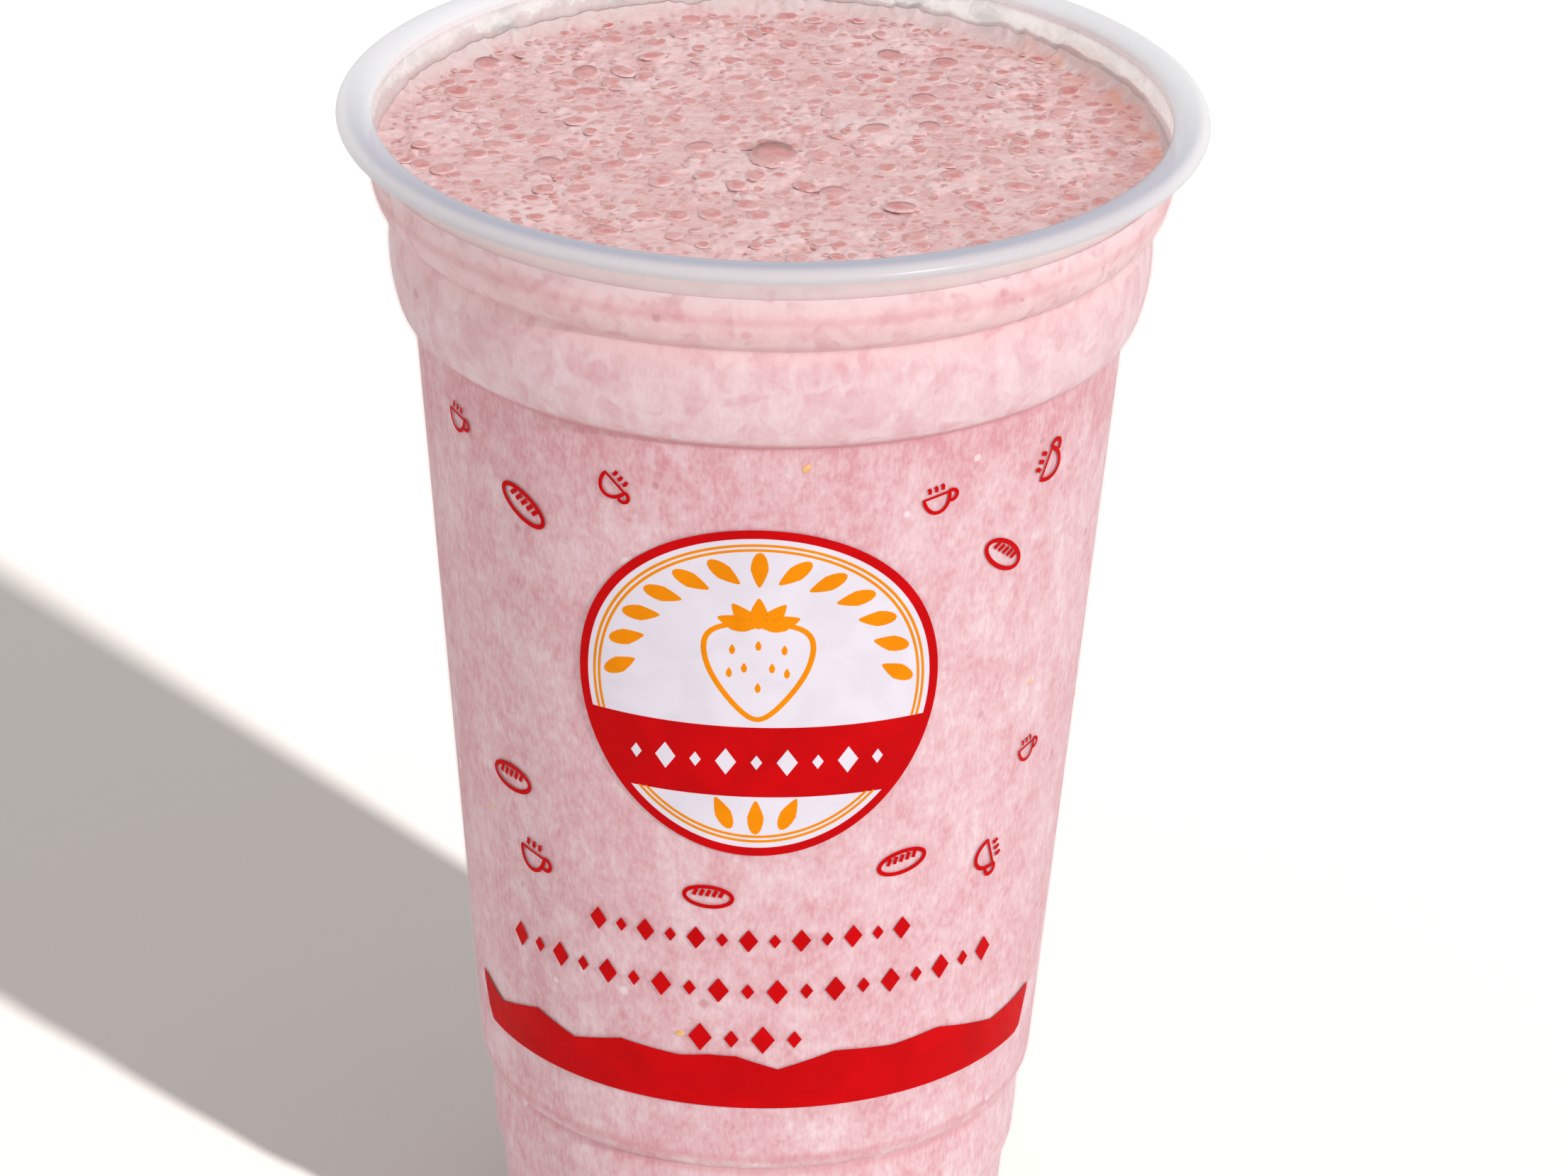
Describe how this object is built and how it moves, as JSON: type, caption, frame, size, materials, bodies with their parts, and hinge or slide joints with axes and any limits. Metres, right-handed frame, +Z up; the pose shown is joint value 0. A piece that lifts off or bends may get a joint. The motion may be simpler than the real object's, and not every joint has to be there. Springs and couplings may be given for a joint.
{
  "type": "strawberry smoothie in a disposable cup",
  "caption": "Blended strawberry drink with a bubbly froth, filling a tall milky plastic takeaway cup with a rolled rim, a stacking shoulder and a stepped foot",
  "frame": {"origin": "centre of the cup's base, on the surface that it stands on", "axes": "+Z is up along the axis of revolution; +X is to the right and +Y away from a viewer who faces the printed front"},
  "size_m": [0.098, 0.098, 0.148],
  "materials": {
    "cup": "thin milky translucent sheet, lightly glossy",
    "smoothie": "thick blended drink with pale froth, moist and softly mottled",
    "print_red": "red ink printed on the outside of the cup",
    "print_orange": "orange ink printed on the outside of the cup",
    "print_white": "thin white ink that lets the drink's pink show through"
  },
  "bodies": {
    "root": {"cup": "cup", "smoothie": "smoothie"}
  },
  "joints": []
}
